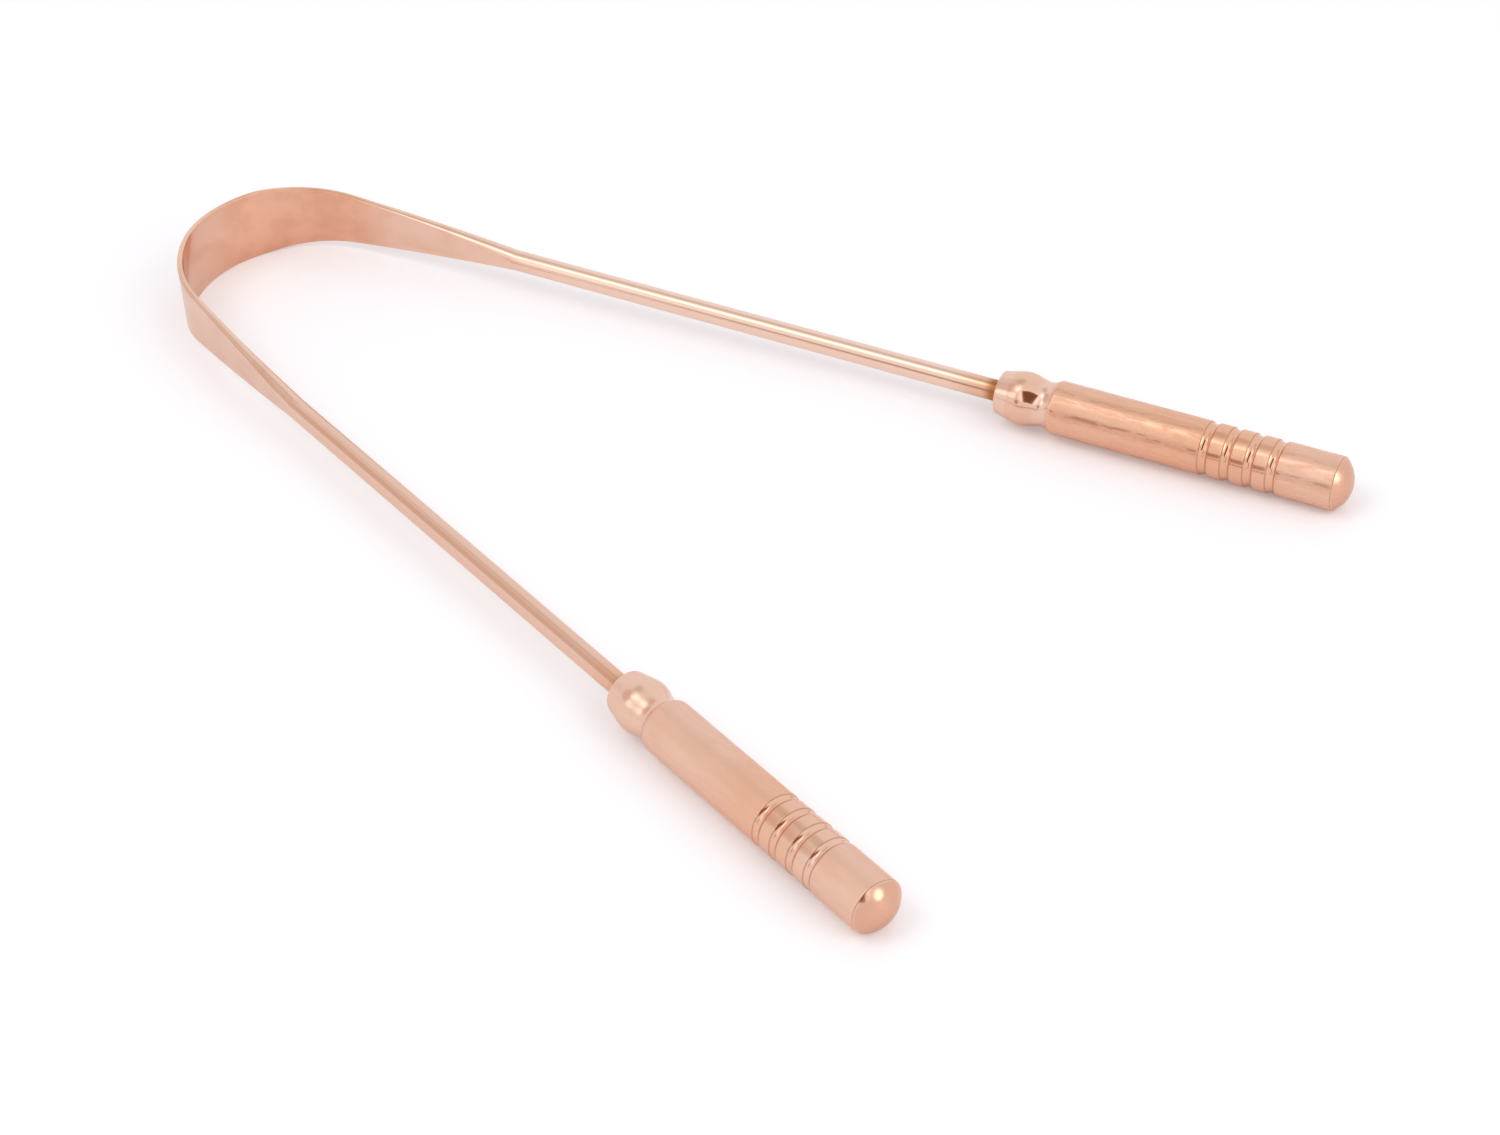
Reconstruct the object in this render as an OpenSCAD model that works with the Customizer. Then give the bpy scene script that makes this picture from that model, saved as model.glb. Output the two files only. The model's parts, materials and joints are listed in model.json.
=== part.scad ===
// Tongue scraper: one copper wire, flattened at its middle into a thin upright strip that is
// bent into a U, and a turned copper handle on each of its two round ends.
// The object lies on a table, blade to the left (-X), handles to the right (+X).
// It is drawn in its own middle plane first and then tipped until it rests on z = 0.

/* [Blade] */
// Height of the strip at the middle of the bend
blade_h = 10.2; // [8:0.1:12]
// Length of strip, over the middle of the bend, that keeps the full height
blade_full_l = 13.2; // [8:0.2:20]
// Length along each side over which the strip narrows to the round wire
taper_l = 40; // [32:0.5:60]
// Radius of the round bend, to the middle of the strip
bend_r = 15.5; // [13:0.5:18]

/* [Arms] */
// Diameter of the wire
wire_d = 2.8; // [2.4:0.1:3.2]
// Angle between each arm and the middle line, in degrees
splay = 12.2; // [8:0.1:16]
// Angle that each side still turns after the round bend, in degrees
ease_turn = 3.1; // [1:0.1:5]
// Length of strip over which it does so
ease_l = 21.2; // [14:0.2:30]
// Straight length from there to the handle
arm_l = 78; // [60:1:95]

/* [Handles] */
// Diameter of the barrel
barrel_d = 7; // [6:0.1:8]
// Length from the front face to the rim of the domed end
handle_l = 45.7; // [42:0.1:60]
// Height of the domed end
dome_h = 1.75; // [0.8:0.05:2.6]
// Diameter of the front face
front_d = 5.7; // [5:0.1:6.2]
// Diameter at the edge where the bevelled front meets the head
shoulder_d = 6.5; // [6:0.1:7]
// Distance from the front face to that edge
shoulder_l = 1.8; // [1.2:0.1:2.6]
// Largest diameter of the rounded head
crown_d = 7; // [6.4:0.1:8]
// Distance from the front face to the largest diameter
crown_l = 3.4; // [3:0.1:4.4]
// Smallest diameter of the neck
neck_d = 5.9; // [5.2:0.1:6.4]
// Distance from the front face to the neck
neck_l = 6.3; // [5.6:0.1:7]
// Distance from the front face to the front edge of the barrel
head_l = 7.8; // [7.2:0.1:9]

/* [Grooves] */
// Number of grooves round each barrel
groove_n = 4; // [1:1:5]
// Distance from the front face to the first groove
groove_at = 28.2; // [18:0.2:30]
// Distance from one groove to the next
groove_pitch = 3; // [2:0.1:3.4]
// Width of a groove
groove_w = 1.2; // [0.8:0.1:1.6]
// Depth of a groove
groove_depth = 0.28; // [0.15:0.01:0.4]

/* [Socket] */
// Depth of the blind hole that holds the wire
socket_l = 14; // [8:0.5:18]
// Gap round the wire in its hole
socket_gap = 0.03; // [0.01:0.01:0.08]
// Diameter of the countersunk mouth of the hole
mouth_d = 3.7; // [3.5:0.1:4.4]
// Depth of the countersunk mouth
mouth_l = 0.5; // [0.3:0.1:1]

/* [Hidden] */
strip_colour = [0.86, 0.57, 0.44];
handle_colour = [0.89, 0.66, 0.54];

// Points round one section of the strip, and steps along each stretch of it
section_points = 24;
full_steps = 4;
bend_steps = 12;
arm_steps = 14;
// Facets of the turned forms, and steps in their curves
round_facets = 96;
curve_steps = 6;
dome_steps = 8;

// Distances along the strip from the middle of the bend
full_end = blade_full_l / 2;
taper_end = full_end + taper_l;
bend_turn = 90 - splay - ease_turn;
bend_end = bend_r * bend_turn * PI / 180;
ease_end = bend_end + ease_l;
ease_r = ease_l * 180 / (PI * ease_turn);
wire_start = max(taper_end, ease_end);
handle_start = ease_end + arm_l;
wire_end = handle_start + socket_l;
handle_rim = handle_start + handle_l;

// Where the two arcs of one side end, in the middle plane
bend_tip = [bend_r * (1 - cos(bend_turn)), bend_r * sin(bend_turn)];
ease_shift = [ease_r * (cos(bend_turn) - cos(90 - splay)),
              ease_r * (sin(90 - splay) - sin(bend_turn))];
ease_tip = bend_tip + ease_shift;

// Direction of the strip at a distance s from the middle, counted from +Y towards +X
function heading(s) =
    s < bend_end ? s * 180 / (PI * bend_r)
    : s < ease_end ? bend_turn + (s - bend_end) * 180 / (PI * ease_r)
    : 90 - splay;

// Place of the middle of the strip there, on the +Y side
function place(s) =
    s < bend_end ? [bend_r * (1 - cos(heading(s))), bend_r * sin(heading(s))]
    : s < ease_end ? bend_tip + ease_r * [cos(bend_turn) - cos(heading(s)),
                                          sin(heading(s)) - sin(bend_turn)]
    : ease_tip + (s - ease_end) * [cos(splay), sin(splay)];

// The strip is the wire pressed flat. Its section keeps about the area of the wire, so its
// thickness follows from its height.
edge_share = 1 - PI / 4;
function height(s) =
    let (along = min(1, max(0, (s - full_end) / taper_l)))
    blade_h + (wire_d - blade_h) * along;
function thickness(h) =
    (h - sqrt(h * h - edge_share * PI * wire_d * wire_d)) / (2 * edge_share);
blade_t = thickness(blade_h);
// Each edge of the strip is an arc that bulges past the flat sides: at a share of 1 it is as far
// as the round wire would, and at 0 by half the thickness
bulge_share = 0.87;
function bulge(t) =
    ((1 - bulge_share) * t + bulge_share * (wire_d - sqrt(max(0, wire_d * wire_d - t * t)))) / 2;
// A taper ends in a short collar a hair thicker than the wire, and the round wire starts inside it
collar_share = 1.03;
collar_l = wire_d / 2;

// One section as points in space; s below zero is the -Y side, and share scales the section
function section(s, share = 1) =
    let (far = abs(s), way = s < 0 ? -1 : 1, p = place(far), turn = heading(far))
    let (h = height(far), t = thickness(h), b = bulge(t), edge_r = (t * t / 4 + b * b) / (2 * b))
    [for (i = [0 : section_points - 1])
        let (a = 360 * (i + 0.5) / section_points, half_w = t / 2 * cos(a))
        let (half_h = h / 2 - edge_r + sqrt(max(0, edge_r * edge_r - half_w * half_w)))
        let (out = share * half_w, up = share * half_h * (sin(a) > 0 ? 1 : -1))
        [p[0] - out * cos(turn), way * (p[1] + out * sin(turn)), up]];

// Solid through a row of sections
module loft(sections) {
    n = section_points;
    last = len(sections) - 1;
    sides = [for (k = [0 : last - 1], i = [0 : n - 1])
        let (j = (i + 1) % n)
        [k * n + i, (k + 1) * n + i, (k + 1) * n + j, k * n + j]];
    near_cap = [for (i = [0 : n - 1]) i];
    far_cap = [for (i = [n - 1 : -1 : 0]) last * n + i];
    polyhedron(points = [for (ring = sections) each ring],
               faces = concat([near_cap], sides, [far_cap]), convexity = 4);
}

function steps(from, to, n) = [for (i = [1 : n]) from + (to - from) * i / n];
half_bend = concat(steps(0, full_end, full_steps), steps(full_end, bend_end, bend_steps));
backwards = [for (i = [len(half_bend) - 1 : -1 : 0]) -half_bend[i]];
blade_stops = concat(backwards, [0], half_bend);
arm_stops = [for (i = [0 : arm_steps - 1]) bend_end + (wire_start - bend_end) * i / arm_steps];

// Outline of a handle, as [radius, distance from the front face]
dome_r = (barrel_d * barrel_d / 4 + dome_h * dome_h) / (2 * dome_h);
dome_half = asin(barrel_d / 2 / dome_r);
head_outline = concat(
    [[0, 0], [front_d / 2, 0], [shoulder_d / 2, shoulder_l]],
    [for (u = steps(0, 1, curve_steps))
        [(shoulder_d + (crown_d - shoulder_d) * sin(90 * u)) / 2,
         shoulder_l + (crown_l - shoulder_l) * u]],
    [for (u = steps(0, 1, 2 * curve_steps))
        [(crown_d + neck_d + (crown_d - neck_d) * cos(180 * u)) / 4,
         crown_l + (neck_l - crown_l) * u]],
    [for (u = steps(0, 1, curve_steps))
        [(neck_d + (barrel_d - neck_d) * (1 - cos(90 * u))) / 2,
         neck_l + (head_l - neck_l) * u]]);
dome_outline = [for (u = steps(1, 0, dome_steps))
    [dome_r * sin(dome_half * u), handle_l + dome_h - dome_r * (1 - cos(dome_half * u))]];
handle_outline = concat(head_outline, [[barrel_d / 2, handle_l]], dome_outline);

// A groove is a shallow arc, cut by a ring of this radius whose middle lies outside the barrel
groove_r = (groove_w * groove_w / 4 + groove_depth * groove_depth) / (2 * groove_depth);

// Resting place: the lower edge of the blade and the rims of both handles touch the table
rim_x = place(handle_rim)[0];
tilt = asin((blade_h - barrel_d) / 2 / (rim_x - place(full_end)[0]));
lift = place(full_end)[0] * sin(tilt) + blade_h / 2 * cos(tilt);
low_x = -blade_t / 2 * cos(tilt) - (blade_h / 2 - bulge(blade_t)) * sin(tilt);
high_x = place(handle_rim + dome_h - dome_r)[0] * cos(tilt) + dome_r;
middle_x = (low_x + high_x) / 2;

module at_rest() {
    translate([-middle_x, 0, lift]) rotate([0, tilt, 0]) children();
}

// Puts what is drawn up the Z axis on the right arm's line, a distance s from the middle
module on_arm(s) {
    translate([place(s)[0], place(s)[1], 0]) rotate([0, 90, splay]) children();
}

module blade() {
    color(strip_colour) at_rest() loft([for (s = blade_stops) section(s)]);
}

module right_arm_shape() {
    inside_collar = wire_start + collar_l / 2;
    loft(concat([for (s = arm_stops) section(s)],
                [for (s = [wire_start, wire_start + collar_l]) section(s, collar_share)]));
    on_arm(inside_collar) cylinder(h = wire_end - inside_collar, d = wire_d, $fn = round_facets);
}

module right_handle_shape() {
    on_arm(handle_start) difference() {
        rotate_extrude($fn = round_facets) polygon(handle_outline);
        cylinder(h = socket_l, d = wire_d + 2 * socket_gap, $fn = round_facets);
        cylinder(h = mouth_l, d1 = mouth_d, d2 = wire_d + 2 * socket_gap, $fn = round_facets);
        for (k = [0 : groove_n - 1])
            rotate_extrude($fn = round_facets)
                translate([barrel_d / 2 + groove_r - groove_depth,
                           groove_at + k * groove_pitch + groove_w / 2])
                    circle(r = groove_r, $fn = round_facets);
    }
}

module right_arm() {
    color(strip_colour) at_rest() right_arm_shape();
}

module left_arm() {
    color(strip_colour) at_rest() mirror([0, 1, 0]) right_arm_shape();
}

module right_handle() {
    color(handle_colour) at_rest() right_handle_shape();
}

module left_handle() {
    color(handle_colour) at_rest() mirror([0, 1, 0]) right_handle_shape();
}

blade();
left_arm();
right_arm();
left_handle();
right_handle();
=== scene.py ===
import json
import math

import bpy
from mathutils import Matrix, Vector


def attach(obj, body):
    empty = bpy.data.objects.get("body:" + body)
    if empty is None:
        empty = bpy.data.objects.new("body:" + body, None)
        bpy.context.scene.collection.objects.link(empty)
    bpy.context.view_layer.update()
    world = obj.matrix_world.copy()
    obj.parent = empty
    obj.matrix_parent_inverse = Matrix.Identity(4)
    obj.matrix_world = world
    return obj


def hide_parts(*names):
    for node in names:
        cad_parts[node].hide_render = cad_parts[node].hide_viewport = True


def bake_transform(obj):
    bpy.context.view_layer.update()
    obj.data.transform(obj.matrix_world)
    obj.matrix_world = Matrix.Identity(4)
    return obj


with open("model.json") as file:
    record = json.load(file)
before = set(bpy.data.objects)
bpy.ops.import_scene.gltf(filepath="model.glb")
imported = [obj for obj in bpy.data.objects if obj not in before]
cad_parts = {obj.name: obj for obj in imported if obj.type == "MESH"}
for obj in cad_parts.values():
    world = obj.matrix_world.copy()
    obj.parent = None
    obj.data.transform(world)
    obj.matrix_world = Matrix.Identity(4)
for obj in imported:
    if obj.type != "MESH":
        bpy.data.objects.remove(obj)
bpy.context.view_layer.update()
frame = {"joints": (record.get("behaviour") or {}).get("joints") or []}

# Lengths below are in millimetres and angles in degrees. A mesh gets metres when it is made.
MM = 0.001

# The blade and the arms: one wire, pressed into an upright strip and bent into a U
blade_h = 10.2
blade_full_l = 13.2
taper_l = 40
bend_r = 15.5
wire_d = 2.8
splay = 12.2
ease_turn = 3.1
ease_l = 21.2
arm_l = 78
bulge_share = 0.87

# The turned handles
barrel_d = 7
handle_l = 45.7
dome_h = 1.75
front_d = 5.7
shoulder_d = 6.5
shoulder_l = 1.8
crown_d = 7
crown_l = 3.4
neck_d = 5.9
neck_l = 6.3
head_l = 7.8
groove_n = 4
groove_at = 28.2
groove_pitch = 3
groove_w = 1.2
groove_depth = 0.28
socket_l = 14
socket_gap = 0.03
mouth_d = 3.7
mouth_l = 0.5

# How finely the strip is drawn: points over one edge and one side of its section, width of the
# narrow step next to a corner (and its largest share of the side), and distances between sections
edge_points = 24
side_points = 3
corner_w = 0.05
corner_share = 0.3
strip_step = 0.4
wire_step = 2
seam_step = 0.05

# How finely a handle is drawn: points round it, distance between the points of its outline, and
# steps in a curve, a groove and the round of an edge
round_points = 128
outline_step = 0.4
curve_steps = 16
groove_steps = 8
round_steps = 5
# Rounds of its edges and of the step from head to barrel, and the flat spot at the tip of its dome
edge_round = 0.07
barrel_round = 0.3
tip_r = 0.04

# Distances along the strip from the middle of the bend
full_end = blade_full_l / 2
taper_end = full_end + taper_l
bend_turn = 90 - splay - ease_turn
bend_end = bend_r * math.radians(bend_turn)
ease_end = bend_end + ease_l
ease_r = ease_l / math.radians(ease_turn)
handle_start = ease_end + arm_l
wire_end = handle_start + socket_l


def heading(s):
    """Direction of the strip at a distance s from the middle of the bend, in degrees."""
    if s < bend_end:
        return math.degrees(s / bend_r)
    return min(bend_turn + math.degrees((s - bend_end) / ease_r), 90 - splay)


def place(s):
    """Middle of the strip there, in the object's own middle plane."""
    turn = math.radians(heading(s))
    if s < bend_end:
        return Vector((bend_r * (1 - math.cos(turn)), bend_r * math.sin(turn), 0))
    start = math.radians(bend_turn)
    tip = Vector((bend_r * (1 - math.cos(start)), bend_r * math.sin(start), 0))
    tip += ease_r * Vector((math.cos(start) - math.cos(turn), math.sin(turn) - math.sin(start), 0))
    beyond = max(0, s - ease_end)
    slope = math.radians(splay)
    return tip + beyond * Vector((math.cos(slope), math.sin(slope), 0))


def height(s):
    """Height of the strip there."""
    along = min(1, max(0, (s - full_end) / taper_l))
    return blade_h + (wire_d - blade_h) * along


def thickness(h):
    """Thickness of the strip where it is h high: its section keeps the area of the wire."""
    edge_share = 1 - math.pi / 4
    return (h - math.sqrt(h * h - edge_share * math.pi * wire_d ** 2)) / (2 * edge_share)


def bulge(t):
    """How far an edge of the strip bulges past its flat sides."""
    arc = wire_d - math.sqrt(max(0, wire_d ** 2 - t * t))
    return ((1 - bulge_share) * t + bulge_share * arc) / 2


def resting_matrix():
    """From the object's middle plane to its place on the table, taken from the hinge of the frame."""
    joint = next(j for j in frame["joints"] if j["name"] == "right_squeeze")
    normal = -Vector(joint["axis"])
    tilt = Matrix.Rotation(math.atan2(normal.x, normal.z), 4, "Y")
    shift = Vector(joint["pos_m"]) / MM - tilt @ place(bend_end)
    return Matrix.Scale(MM, 4) @ Matrix.Translation(shift) @ tilt


REST = resting_matrix()


def skin(name, rings, grain):
    """Closed mesh through a row of rings. grain holds each point's place in the straightened piece:
    two lengths across it and one along it, in millimetres, which the copper's texture follows."""
    n = len(rings[0])
    faces = [tuple(range(n - 1, -1, -1)), tuple(range(len(rings) * n - n, len(rings) * n))]
    for k in range(len(rings) - 1):
        for i in range(n):
            j = (i + 1) % n
            faces.append((k * n + i, k * n + j, k * n + n + j, k * n + n + i))
    mesh = bpy.data.meshes.new(name)
    mesh.from_pydata([p for ring in rings for p in ring], [], faces)
    mesh.polygons.foreach_set("use_smooth", [True] * len(faces))
    ends = set(faces[0]), set(faces[1])
    for edge in mesh.edges:
        if any(set(edge.vertices) <= end for end in ends):
            edge.use_edge_sharp = True
    layer = mesh.attributes.new("grain", "FLOAT_VECTOR", "POINT")
    layer.data.foreach_set("vector", [c for ring in grain for p in ring for c in p])
    piece = bpy.data.objects.new(name, mesh)
    bpy.context.scene.collection.objects.link(piece)
    return piece


def section(s):
    """Outline of the strip at s, as (outwards, upwards) pairs: its two edges are arcs and its sides
    are flat, with a narrow step next to each corner that keeps the corner crisp."""
    h = height(s)
    t = thickness(h)
    b = bulge(t)
    edge_r = (t * t / 4 + b * b) / (2 * b)
    edge = []
    for i in range(edge_points):
        out = t / 2 * math.cos(math.pi * (i + 0.5) / edge_points)
        edge.append((out, h / 2 - edge_r + math.sqrt(max(0, edge_r ** 2 - out ** 2))))
    out, top = edge[0]
    inner_top = top - min(corner_w, top * corner_share)
    side = [(out, inner_top * (2 * i / (side_points - 1) - 1)) for i in range(side_points)]
    left_side = [(-x, -y) for x, y in side]
    return edge + left_side + [(-x, -y) for x, y in edge] + side


def stops():
    """Distances along the strip at which a section is drawn."""
    fine = [seam_step + strip_step * i for i in range(int(taper_end / strip_step))]
    coarse = int((wire_end - taper_end) / wire_step)
    return [0] + fine + [taper_end + (wire_end - taper_end) * i / coarse for i in range(coarse + 1)]


def half_strip(name, way):
    """One half of the wire, from the middle of the bend to its end inside the handle."""
    rings = []
    grain = []
    for s in stops():
        turn = math.radians(heading(s))
        outwards = Vector((-math.cos(turn), math.sin(turn), 0))
        outline = section(s)
        ring = []
        for out, up in outline:
            p = place(s) + outwards * out
            ring.append(REST @ Vector((p.x, way * p.y, up)))
        # The mirrored half runs the other way round, so that its faces look outwards too
        rings.append(ring[::way])
        grain.append([(out, up, way * s) for out, up in outline][::way])
    return skin(name, rings, grain)


def spread(a, b):
    """Points from a to b, no further apart than outline_step, without the last."""
    n = max(1, math.ceil(math.dist(a, b) / outline_step))
    return [(a[0] + (b[0] - a[0]) * i / n, a[1] + (b[1] - a[1]) * i / n) for i in range(n)]


def rounded_outline(runs, rounds):
    """Joins the runs of an outline, with a round of the given size wherever two of them meet."""
    points = []
    for k, run in enumerate(runs):
        line = list(run)
        for end, beside, size in ((0, 1, rounds[k]), (-1, -2, rounds[k + 1])):
            if size == 0:
                continue
            corner = line[end]
            while len(line) > 2 and math.dist(line[beside], corner) <= size:
                line.pop(beside)
            near = line[beside]
            # A short stretch is rounded from its middle, to leave room for the round at its other end
            share = min(size / math.dist(near, corner), 0.5)
            line[end] = tuple(c + (m - c) * share for c, m in zip(corner, near))
        if k > 0:
            corner = run[0]
            start, stop = points[-1], line[0]
            for i in range(1, round_steps):
                u = i / round_steps
                points.append(tuple((1 - u) ** 2 * a + 2 * u * (1 - u) * c + u * u * b
                                    for a, c, b in zip(start, corner, stop)))
        for a, b in zip(line, line[1:]):
            points += spread(a, b)
        points.append(line[-1])
    return points


def groove_radius(share):
    """Radius of the handle at a share of the way across a groove, which is a shallow arc."""
    r = (groove_w ** 2 / 4 + groove_depth ** 2) / (2 * groove_depth)
    across = groove_w * (share - 0.5)
    return barrel_d / 2 + r - groove_depth - math.sqrt(r * r - across * across)


def handle_outline():
    """Outline of a handle from the bottom of its socket to the tip of its dome, as (radius, along)."""
    ease = [i / curve_steps for i in range(curve_steps + 1)]
    bore_r = wire_d / 2 + socket_gap
    socket = [(tip_r, socket_l), (bore_r, socket_l)]
    bore = [(bore_r, socket_l), (bore_r, mouth_l)]
    mouth = [(bore_r, mouth_l), (mouth_d / 2, 0)]
    front = [(mouth_d / 2, 0), (front_d / 2, 0)]
    bevel = [(front_d / 2, 0), (shoulder_d / 2, shoulder_l)]
    head = [((shoulder_d + (crown_d - shoulder_d) * math.sin(math.pi / 2 * u)) / 2,
             shoulder_l + (crown_l - shoulder_l) * u) for u in ease]
    head += [((crown_d + neck_d + (crown_d - neck_d) * math.cos(math.pi * u)) / 4,
              crown_l + (neck_l - crown_l) * u) for u in ease[1:]]
    head += [((neck_d + (barrel_d - neck_d) * (1 - math.cos(math.pi / 2 * u))) / 2,
              neck_l + (head_l - neck_l) * u) for u in ease[1:]]
    runs = [socket, bore, mouth, front, bevel, head]
    rounds = [0] + [edge_round] * 5 + [barrel_round]
    at = head_l
    for k in range(groove_n):
        start = groove_at + k * groove_pitch
        runs.append([(barrel_d / 2, at), (barrel_d / 2, start)])
        runs.append([(groove_radius(i / groove_steps), start + groove_w * i / groove_steps)
                     for i in range(groove_steps + 1)])
        rounds += [edge_round] * 2
        at = start + groove_w
    runs.append([(barrel_d / 2, at), (barrel_d / 2, handle_l)])
    dome_r = (barrel_d ** 2 / 4 + dome_h ** 2) / (2 * dome_h)
    dome_half = math.asin(barrel_d / 2 / dome_r)
    tip_half = math.asin(tip_r / dome_r)
    turns = [dome_half + (tip_half - dome_half) * u for u in ease]
    runs.append([(dome_r * math.sin(a), handle_l + dome_h - dome_r * (1 - math.cos(a))) for a in turns])
    return rounded_outline(runs, rounds + [edge_round, 0])


def handle(name, way):
    """A turned handle, placed where its arm ends."""
    foot = place(handle_start)
    turn = Matrix.Rotation(math.radians(way * splay), 4, "Z") @ Matrix.Rotation(math.pi / 2, 4, "Y")
    put = REST @ Matrix.Translation((foot.x, way * foot.y, 0)) @ turn
    rings = []
    grain = []
    for radius, along in handle_outline():
        circle = []
        for i in range(round_points):
            a = 2 * math.pi * i / round_points
            circle.append(Vector((radius * math.cos(a), radius * math.sin(a), along)))
        rings.append([put @ p for p in circle])
        grain.append([tuple(p) for p in circle])
    return skin(name, rings, grain)


class Nodes:
    """Short ways to add and link shader nodes in one node tree. Where a method takes a value, this may
    be a number, a colour or the output of a node."""

    def __init__(self, tree):
        self.tree = tree
        tree.nodes.clear()

    def put(self, value, socket):
        """Gives a value to an input."""
        if isinstance(value, bpy.types.NodeSocket):
            self.tree.links.new(value, socket)
        else:
            socket.default_value = value

    def add(self, kind, **inputs):
        """A new node. An underscore in an input's name stands for a space."""
        node = self.tree.nodes.new(kind)
        for name, value in inputs.items():
            self.put(value, node.inputs[name.replace("_", " ")])
        return node

    def math(self, operation, a, b=0.0):
        node = self.add("ShaderNodeMath")
        node.operation = operation
        self.put(a, node.inputs[0])
        self.put(b, node.inputs[1])
        return node.outputs["Value"]

    def total(self, first, *others):
        for other in others:
            first = self.math("ADD", first, other)
        return first

    def product(self, first, *others):
        for other in others:
            first = self.math("MULTIPLY", first, other)
        return first

    def split(self, vector):
        """The three parts of a vector."""
        return self.add("ShaderNodeSeparateXYZ", Vector=vector).outputs

    def dot(self, vector, direction):
        node = self.add("ShaderNodeVectorMath")
        node.operation = "DOT_PRODUCT"
        self.put(vector, node.inputs[0])
        self.put(direction, node.inputs[1])
        return node.outputs["Value"]

    def step(self, value, low, high):
        """0 where value is at low, 1 at high, smooth between. Low may be the larger of the two."""
        start, end = (0.0, 1.0) if low < high else (1.0, 0.0)
        node = self.add("ShaderNodeMapRange", Value=value, From_Min=min(low, high),
                        From_Max=max(low, high), To_Min=start, To_Max=end)
        node.interpolation_type = "SMOOTHSTEP"
        return node.outputs["Result"]

    def blended(self, kind, factor, a, b):
        """a where the factor is 0, b where it is 1. Of a mix node's inputs and outputs, some are for
        numbers and some for colours, and only those of its own kind are enabled."""
        node = self.add("ShaderNodeMix")
        node.data_type = kind
        enabled = [socket for socket in node.inputs if socket.enabled]
        for value, socket in zip((factor, a, b), enabled):
            self.put(value, socket)
        return next(socket for socket in node.outputs if socket.enabled)

    def between(self, factor, a, b):
        """One number turning into another."""
        return self.blended("FLOAT", factor, a, b)

    def mix(self, factor, a, b):
        """One colour turning into another."""
        return self.blended("RGBA", factor, a, b)

    def noise(self, grain, scale, detail):
        """Noise over the straightened piece, whose grain is in millimetres."""
        stretched = self.add("ShaderNodeMapping", Vector=grain, Scale=scale).outputs["Vector"]
        return self.add("ShaderNodeTexNoise", Vector=stretched, Scale=1.0, Detail=detail).outputs["Fac"]

    def bump(self, raised, depth, normal=None):
        """Raises the surface by depth millimetres where raised is 1."""
        node = self.add("ShaderNodeBump", Height=raised, Distance=depth * MM)
        if normal is not None:
            self.put(normal, node.inputs["Normal"])
        return node.outputs["Normal"]

    def seen(self):
        """1 for what the camera sees directly."""
        return self.add("ShaderNodeLightPath").outputs["Is Camera Ray"]

    def mirrored(self):
        """1 for what is seen in a mirror or through glass."""
        rays = self.add("ShaderNodeLightPath").outputs
        return self.math("MAXIMUM", rays["Is Glossy Ray"], rays["Is Transmission Ray"])


def grey(level):
    return (level, level, level, 1.0)


# Colours of the copper: what the metal reflects head-on, in linear light
wire_clean = (0.895, 0.605, 0.47, 1.0)
wire_stained = (0.85, 0.53, 0.39, 1.0)
# Painted light and shade: the same wire is lighter on the right arm and darker on the left
right_arm_light = (0.94, 0.665, 0.53, 1.0)
left_arm_shade = (0.86, 0.555, 0.42, 1.0)
# Painted reflection inside the bend: warmer copper, and darker still where stained
bend_reflection = (0.89, 0.51, 0.355, 1.0)
bend_reflection_stained = (0.81, 0.44, 0.295, 1.0)
wire_warm = (0.83, 0.49, 0.33, 1.0)
wire_brown = (0.45, 0.18, 0.065, 1.0)
handle_brown = (0.86, 0.44, 0.257, 1.0)
# Painted highlight on the right handle's head, the edges of its bevel and neck, and the end of its
# barrel
painted_highlight_colour = (0.90, 0.62, 0.50, 1.0)
dome_colour = (0.80, 0.45, 0.31, 1.0)
# Painted shade: dark lines along the edges of the grooves and at the rim of the dome
edge_shade_colour = (0.50, 0.22, 0.12, 1.0)

# Where a colour starts to come in and where it is full, along the strip from the middle of the bend
# The painted light on the right arm and the painted shade on the left arm
right_wire_fade = (38, 58)
left_wire_fade = (-38, -58)
bend_right_fade = (28, 19)
bend_left_fade = (-5, 5)
# The same, outwards from the middle of the strip's thickness: the painted warm reflection lies on the
# inside of the bend only
bend_inside_fade = (0.22, 0.08)
# The same, back from the front face of the handle
warm_fade = (8, 1.5)
brown_fade = (2.4, 0.8)
# How brown the left wire's end is, as a share of the right one's, and where left turns into right
left_brown_share = 0.25
side_fade = (-1, 1)

# The same, along a handle from its front face
brown_barrel_fade = (16, 26)
# Where the painted highlights on the edges of the neck and the bevel come in
neck_highlight_fade = (neck_l - 1.3, neck_l - 0.3)
bevel_highlight_fade = (shoulder_l + 0.1, shoulder_l - 0.1)
head_fade = (head_l, head_l - 0.7)
dome_fade = (handle_l - 0.1, handle_l)
dome_colour_fade = (handle_l, handle_l + 0.3)
grooves_end = groove_at + (groove_n - 1) * groove_pitch + groove_w
before_grooves_fade = (groove_at - 0.2, groove_at)
past_grooves_fade = (grooves_end + 0.2, grooves_end)
brown_grooves_fade = (grooves_end, grooves_end - 7)
# Where the painted highlight at the end of the barrel comes in
end_highlight_fade = (grooves_end, grooves_end + 1)
# The same, away from the edges of the grooves and from the rim of the dome, for the painted shade along
# them
edge_shade_fade = (0.13, 0.04)
rim_fade = (0.09, 0.02)

# How strongly these colours are laid on, from 0 to 1
brown_barrel_share = 0.4
# Painted highlights on the head, on the edges of its bevel and neck, and at the end of the barrel
head_highlight_share = 0.3
edge_highlight_share = 0.5
end_highlight_share = 0.25
# How dark the painted shade along the groove edges and the dome's rim is
edge_shade_share = 0.6

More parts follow.
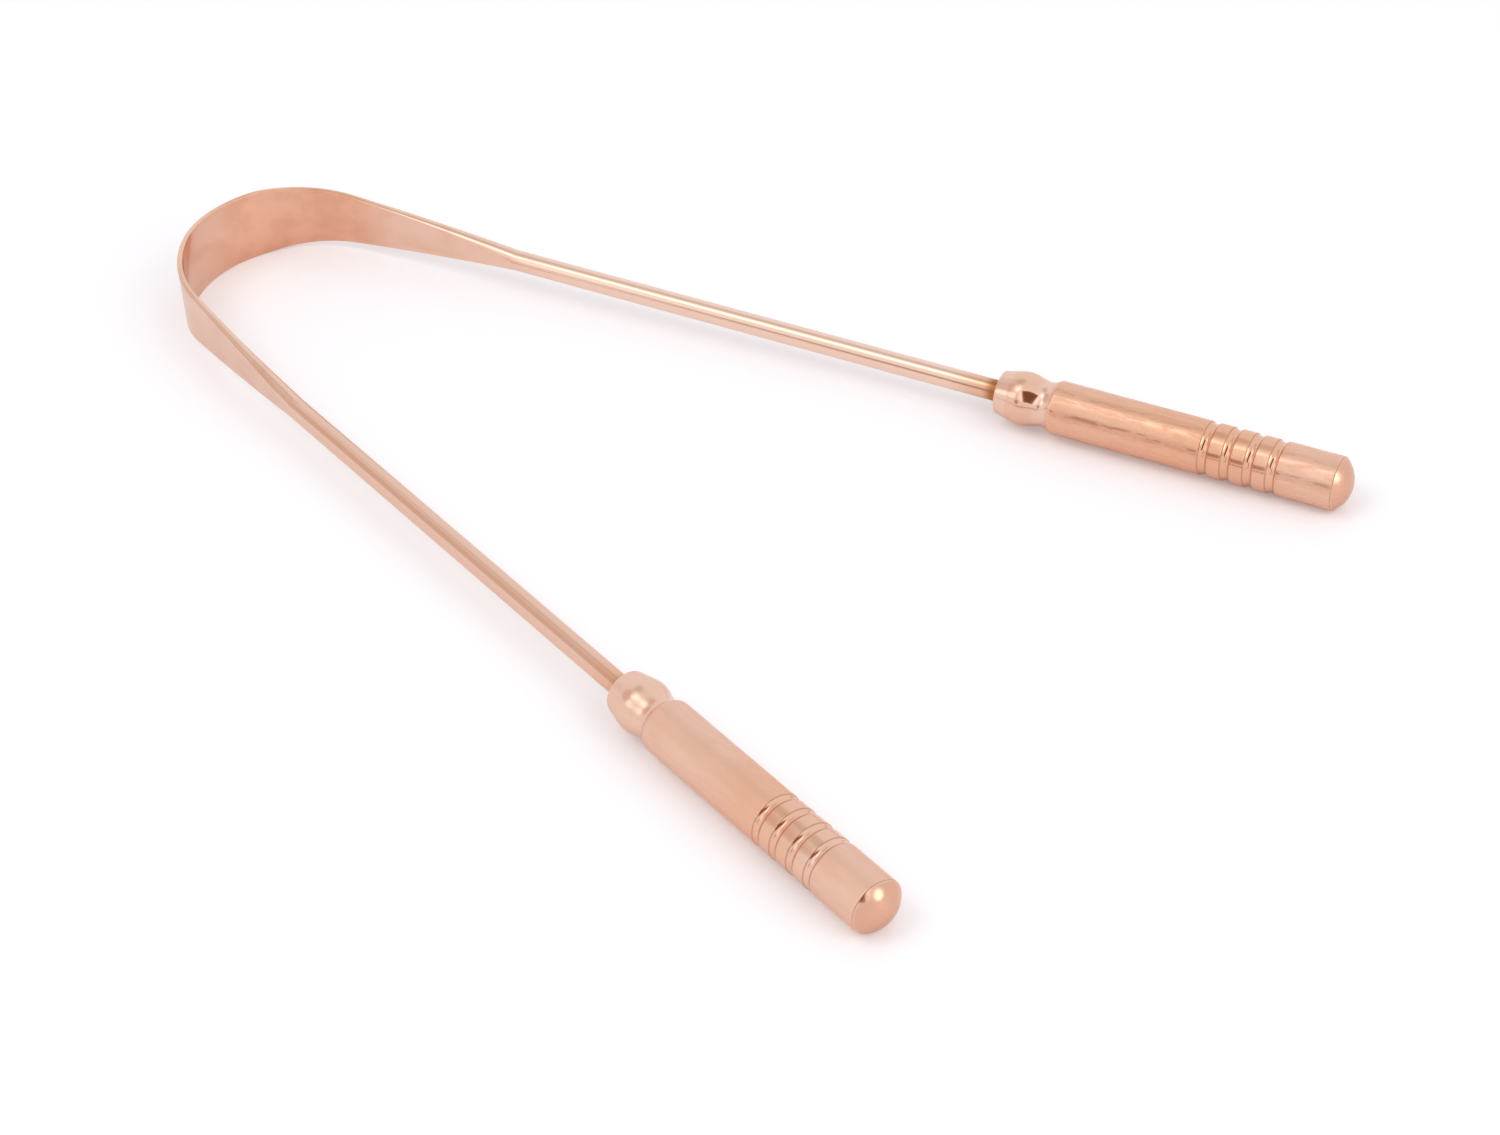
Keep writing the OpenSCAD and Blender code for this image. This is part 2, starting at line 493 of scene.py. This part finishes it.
# Noise on the copper: waves per millimetre in the two directions across the piece and along it, and
# how many levels of finer detail it has
strip_stains = ((0.35, 0.35, 0.16), 3.0)
strip_blotches = ((0.25, 0.25, 0.22), 4.0)
strip_waves = ((0.30, 0.30, 0.14), 1.0)
strip_lines = ((5.0, 5.0, 0.10), 3.0)
handle_stains = ((0.30, 0.30, 0.20), 3.0)
handle_waves = ((0.32, 0.32, 0.22), 1.0)
turning_marks = ((0.5, 0.5, 7.0), 3.0)
brushed_marks = ((1.8, 1.8, 0.40), 3.0)

# The levels of the noise at which stains, blotches and worn patches start and are full
strip_stain_levels = (0.40, 0.75)
blotch_levels = (0.38, 0.62)
handle_stain_levels = (0.42, 0.75)
worn_levels = (0.42, 0.58)

# How deep waves and marks go, in millimetres
strip_wave_depth = 0.02
strip_line_depth = 0.0010
handle_wave_depth = 0.06
turning_depth = 0.0006
brushed_depth = 0.012

# Roughness of the wire, and what lines and marks add to it and to that of the handles
strip_rough = 0.09
line_rough = 0.10
brown_rough = 0.15
turning_rough_satin = 0.06
turning_rough_polished = 0.08


def copper_nodes(name):
    """A new material, its nodes, and the grain of the piece that wears it."""
    material = bpy.data.materials.new(name)
    material.use_nodes = True
    n = Nodes(material.node_tree)
    grain = n.add("ShaderNodeAttribute")
    grain.attribute_name = "grain"
    return material, n, grain.outputs["Vector"]


def bare_metal(n, colour, rough, normal):
    """Ends a material as metal without a coat."""
    shader = n.add("ShaderNodeBsdfPrincipled", Base_Color=colour, Metallic=1.0, Roughness=rough,
                   Normal=normal)
    n.add("ShaderNodeOutputMaterial", Surface=shader.outputs["BSDF"])


def copper_of_strip():
    """Drawn and rolled copper: fine lines lengthwise and brown at the handles. Painted light and shade:
    the right arm is lighter and the left one darker, and the inside of the bend has a warm painted
    reflection, with stains.
    """
    material, n, at = copper_nodes("copper_strip")
    out, _, along = n.split(at)
    stains = n.step(n.noise(at, *strip_stains), *strip_stain_levels)
    colour = n.mix(stains, wire_clean, wire_stained)
    # Painted light and shade on the arms: the right one lighter, the left one darker
    colour = n.mix(n.step(along, *right_wire_fade), colour, right_arm_light)
    colour = n.mix(n.step(along, *left_wire_fade), colour, left_arm_shade)

    # Painted reflection: the inside of the bend is warmer, with stains over it
    inner_bend = n.product(n.step(along, *bend_right_fade), n.step(along, *bend_left_fade),
                           n.step(out, *bend_inside_fade))
    blotches = n.step(n.noise(at, *strip_blotches), *blotch_levels)
    colour = n.mix(inner_bend, colour, n.mix(blotches, bend_reflection, bend_reflection_stained))

    to_handle = n.math("SUBTRACT", handle_start, n.math("ABSOLUTE", along))
    on_right = n.product(n.step(along, *side_fade), 1 - left_brown_share)
    browned = n.product(n.step(to_handle, *brown_fade), n.total(on_right, left_brown_share))
    colour = n.mix(n.step(to_handle, *warm_fade), colour, wire_warm)
    colour = n.mix(browned, colour, wire_brown)

    lines = n.noise(at, *strip_lines)
    rough = n.total(n.product(lines, line_rough), n.product(browned, brown_rough), strip_rough)
    normal = n.bump(n.noise(at, *strip_waves), strip_wave_depth)
    normal = n.bump(lines, strip_line_depth, normal)
    bare_metal(n, colour, rough, normal)
    return material


def copper_of_handle(name, clean, stained, satin_rough, gloss, polished_rough, dome_gloss, highlight_strength):
    """Turned copper: satin on the barrel, smoother on the head, in the grooves and on the dome. The
    worn parts of the barrel are smoother by gloss. From 0 to 1, dome_gloss is how polished the dome is,
    and the last argument how strongly painted highlights lie on the head, the edges of its bevel and
    neck, and the end of the barrel. Painted shade darkens the edges of the grooves and the rim of the
    dome."""
    material, n, at = copper_nodes(name)
    _, _, along = n.split(at)
    head = n.step(along, *head_fade)
    dome = n.step(along, *dome_fade)
    grooves = n.product(n.step(along, *before_grooves_fade), n.step(along, *past_grooves_fade))
    bright = n.math("MAXIMUM", head, n.product(dome, dome_gloss))
    bright = n.math("MAXIMUM", bright, grooves)

    stains = n.step(n.noise(at, *handle_stains), *handle_stain_levels)
    colour = n.mix(stains, clean, stained)
    brown = n.product(n.step(along, *brown_barrel_fade), n.step(along, *brown_grooves_fade),
                      brown_barrel_share)
    colour = n.mix(brown, colour, handle_brown)
    # Painted highlights: the head, the edges of its bevel and neck, and the end of the barrel are paler
    edges = n.math("MAXIMUM", n.step(along, *neck_highlight_fade), n.step(along, *bevel_highlight_fade))
    painted_highlight = n.total(n.product(edges, edge_highlight_share), head_highlight_share)
    painted_highlight = n.total(n.product(head, painted_highlight), n.product(n.step(along, *end_highlight_fade), end_highlight_share))
    colour = n.mix(n.product(painted_highlight, highlight_strength), colour, painted_highlight_colour)
    colour = n.mix(n.step(along, *dome_colour_fade), colour, dome_colour)

    # Painted shade: dark lines along the edges of the grooves and at the rim of the dome
    from_groove = n.math("SUBTRACT", along, groove_at + groove_w / 2)
    from_groove = n.math("PINGPONG", from_groove, groove_pitch / 2)
    from_edge = n.math("ABSOLUTE", n.math("SUBTRACT", from_groove, groove_w / 2))
    edge_shade = n.product(n.step(from_edge, *edge_shade_fade), grooves)
    from_rim = n.math("ABSOLUTE", n.math("SUBTRACT", along, handle_l))
    edge_shade = n.math("MAXIMUM", edge_shade, n.step(from_rim, *rim_fade))
    colour = n.mix(n.product(edge_shade, edge_shade_share), colour, edge_shade_colour)

    turning = n.noise(at, *turning_marks)
    brushed = n.noise(at, *brushed_marks)
    worn = n.step(brushed, *worn_levels)
    satin = n.total(n.product(worn, -gloss), n.product(turning, turning_rough_satin), satin_rough)
    polished = n.total(n.product(turning, turning_rough_polished), polished_rough)
    rough = n.between(bright, satin, polished)
    normal = n.bump(n.noise(at, *handle_waves), handle_wave_depth)
    normal = n.bump(n.product(brushed, n.math("SUBTRACT", 1.0, bright)), brushed_depth, normal)
    normal = n.bump(turning, turning_depth, normal)
    bare_metal(n, colour, rough, normal)
    return material


def bearing(azimuth, elevation):
    """Unit vector towards an azimuth, counted from +X towards +Y, and an elevation."""
    a = math.radians(azimuth)
    e = math.radians(elevation)
    return Vector((math.cos(e) * math.cos(a), math.cos(e) * math.sin(a), math.sin(e)))


# The camera, as worked out from the photograph
lens_mm = 79.6
sensor_w = 36
clip_near = 10
target = Vector((26.94, -9.29, 2.8))
camera_distance = 404.3
camera_azimuth = -47.72
camera_elevation = 39.11
camera_roll = -3.64


def add_camera():
    back = bearing(camera_azimuth, camera_elevation)
    right = Vector((0, 0, 1)).cross(back).normalized()
    pose = Matrix((right, back.cross(right), back)).transposed().to_4x4()
    data = bpy.data.cameras.new("camera")
    data.lens = lens_mm
    data.sensor_width = sensor_w
    data.clip_start = clip_near * MM
    camera = bpy.data.objects.new("camera", data)
    place_at = Matrix.Translation((target + back * camera_distance) * MM)
    camera.matrix_world = place_at @ pose @ Matrix.Rotation(math.radians(camera_roll), 4, "Z")
    bpy.context.scene.collection.objects.link(camera)
    bpy.context.scene.camera = camera


# The light: a white tent with two lamps behind its cloth. Diffuse light comes from an even tent and
# two soft lamps; what the copper reflects is drawn in more detail.
tent_diffuse = (0.715, 0.70, 0.72, 1.0)
tent_glossy = (0.905, 0.93, 0.96, 1.0)
# Name, azimuth, elevation, diameter and watts
lamps = (("left", -127, 58, 520, 1.22), ("right", 4, 40, 700, 1.48))
lamp_distance = 900


def spot(n, view, azimuth, elevation, inner, outer):
    """1 within inner degrees of a direction, 0 beyond outer degrees."""
    across = n.dot(view, bearing(azimuth, elevation))
    return n.step(across, math.cos(math.radians(outer)), math.cos(math.radians(inner)))


# How far ahead a direction has to point for a panel to start and to be full, so that the panel
# doesn't show behind the object too
panel_front = (0.0, 0.2)


def panel(n, view, azimuth, elevation, half_wide, half_high, soft):
    """1 inside an upright rectangle round a direction, measured in degrees, with soft edges."""
    ahead = bearing(azimuth, elevation)
    side = Vector((0, 0, 1)).cross(ahead).normalized()
    inside = n.step(n.dot(view, ahead), *panel_front)
    for axis, half in ((side, half_wide), (ahead.cross(side), half_high)):
        off = n.math("ABSOLUTE", n.dot(view, axis))
        edge = n.step(off, math.sin(math.radians(half + soft)), math.sin(math.radians(half - soft)))
        inside = n.product(inside, edge)
    return inside


# What the copper reflects of the tent, each one laid over those before it: shape, azimuth, elevation,
# the shape's sizes in degrees, and colour
reflections = (
    # Shaded parts of the cloth
    (spot, 157, 60, (6, 21), (0.70, 0.67, 0.64, 1.0)),
    (spot, -160, 35, (12, 24), (0.73, 0.64, 0.61, 1.0)),
    (spot, -96, 14, (4, 11), (0.46, 0.31, 0.24, 1.0)),
    # The glow of the left lamp on the cloth, and its bright middle
    (spot, -128, 62, (14, 22), grey(1.05)),
    (spot, -122, 30, (8, 14), grey(1.4)),
    (panel, -131, 61, (8, 10, 2.5), grey(1.75)),
    # The right lamp
    (spot, 6, 24, (12, 17), grey(2.5)),
    # The cloth round the camera, and the dark opening that it looks through
    (spot, -54, 45, (24, 34), grey(1.3)),
    (panel, -54, 45, (14, 25, 2), (0.20, 0.09, 0.05, 1.0)),
)


def add_world():
    world = bpy.data.worlds.new("tent")
    world.use_nodes = True
    bpy.context.scene.world = world
    n = Nodes(world.node_tree)
    view = n.add("ShaderNodeTexCoord").outputs["Generated"]
    colour = tent_glossy
    for shape, azimuth, elevation, sizes, shade in reflections:
        colour = n.mix(shape(n, view, azimuth, elevation, *sizes), colour, shade)
    colour = n.mix(n.mirrored(), tent_diffuse, colour)
    colour = n.mix(n.seen(), colour, grey(1.0))
    background = n.add("ShaderNodeBackground", Color=colour)
    n.add("ShaderNodeOutputWorld", Surface=background.outputs["Background"])


def add_lamps():
    for name, azimuth, elevation, size, watts in lamps:
        data = bpy.data.lights.new(name + "_softbox", "AREA")
        data.shape = "DISK"
        data.size = size * MM
        data.energy = watts
        lamp = bpy.data.objects.new(name + "_softbox", data)
        towards = bearing(azimuth, elevation)
        lamp.location = (target + towards * lamp_distance) * MM
        lamp.rotation_euler = towards.to_track_quat("Z", "Y").to_euler()
        lamp.visible_glossy = False
        bpy.context.scene.collection.objects.link(lamp)


# The table. It glows a little, for the camera and in mirrors only, so that it is white in the picture
# and still shows the shadows.
table_half = 1500
table_colour = (0.97, 0.965, 0.975, 1.0)
table_rough = 0.5
table_ior = 1.45
glow_seen = 0.145
glow_mirrored = 0.02


def add_floor():
    mesh = bpy.data.meshes.new("floor")
    half = table_half * MM
    corners = [(-half, -half, 0), (half, -half, 0), (half, half, 0), (-half, half, 0)]
    mesh.from_pydata(corners, [], [(0, 1, 2, 3)])
    floor = bpy.data.objects.new("floor", mesh)
    bpy.context.scene.collection.objects.link(floor)
    material = bpy.data.materials.new("table")
    material.use_nodes = True
    n = Nodes(material.node_tree)
    shader = n.add("ShaderNodeBsdfPrincipled", Base_Color=table_colour, Roughness=table_rough,
                   IOR=table_ior)
    glow = n.total(n.product(n.seen(), glow_seen), n.product(n.mirrored(), glow_mirrored))
    lift = n.add("ShaderNodeEmission", Color=grey(1.0), Strength=glow)
    both = n.add("ShaderNodeAddShader")
    n.put(shader.outputs["BSDF"], both.inputs[0])
    n.put(lift.outputs["Emission"], both.inputs[1])
    n.add("ShaderNodeOutputMaterial", Surface=both.outputs["Shader"])
    mesh.materials.append(material)


strip_copper = copper_of_strip()
# The two handles are one copper, coloured apart as painted light and shade: the left one paler, the
# right one deeper and more orange
turned_copper = {
    "left": copper_of_handle("copper_turned_left",
                             clean=(0.885, 0.575, 0.44, 1.0), stained=(0.865, 0.54, 0.40, 1.0),
                             satin_rough=0.46, gloss=0.10, polished_rough=0.16,
                             dome_gloss=1.0, highlight_strength=0.0),
    "right": copper_of_handle("copper_turned_right",
                              clean=(0.87, 0.505, 0.35, 1.0), stained=(0.85, 0.475, 0.325, 1.0),
                              satin_rough=0.38, gloss=0.22, polished_rough=0.10,
                              dome_gloss=0.5, highlight_strength=1.0),
}

for side, way in (("left", -1), ("right", 1)):
    body = side + "_side"
    strip = half_strip(side + "_half_of_strip", way)
    strip.data.materials.append(strip_copper)
    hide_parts("blade", side + "_arm")
    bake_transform(strip)
    grip = handle(side + "_turned_handle", way)
    grip.data.materials.append(turned_copper[side])
    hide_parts(side + "_handle")
    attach(grip, body)

add_camera()
add_world()
add_lamps()
add_floor()
bpy.context.scene.view_settings.view_transform = "Standard"
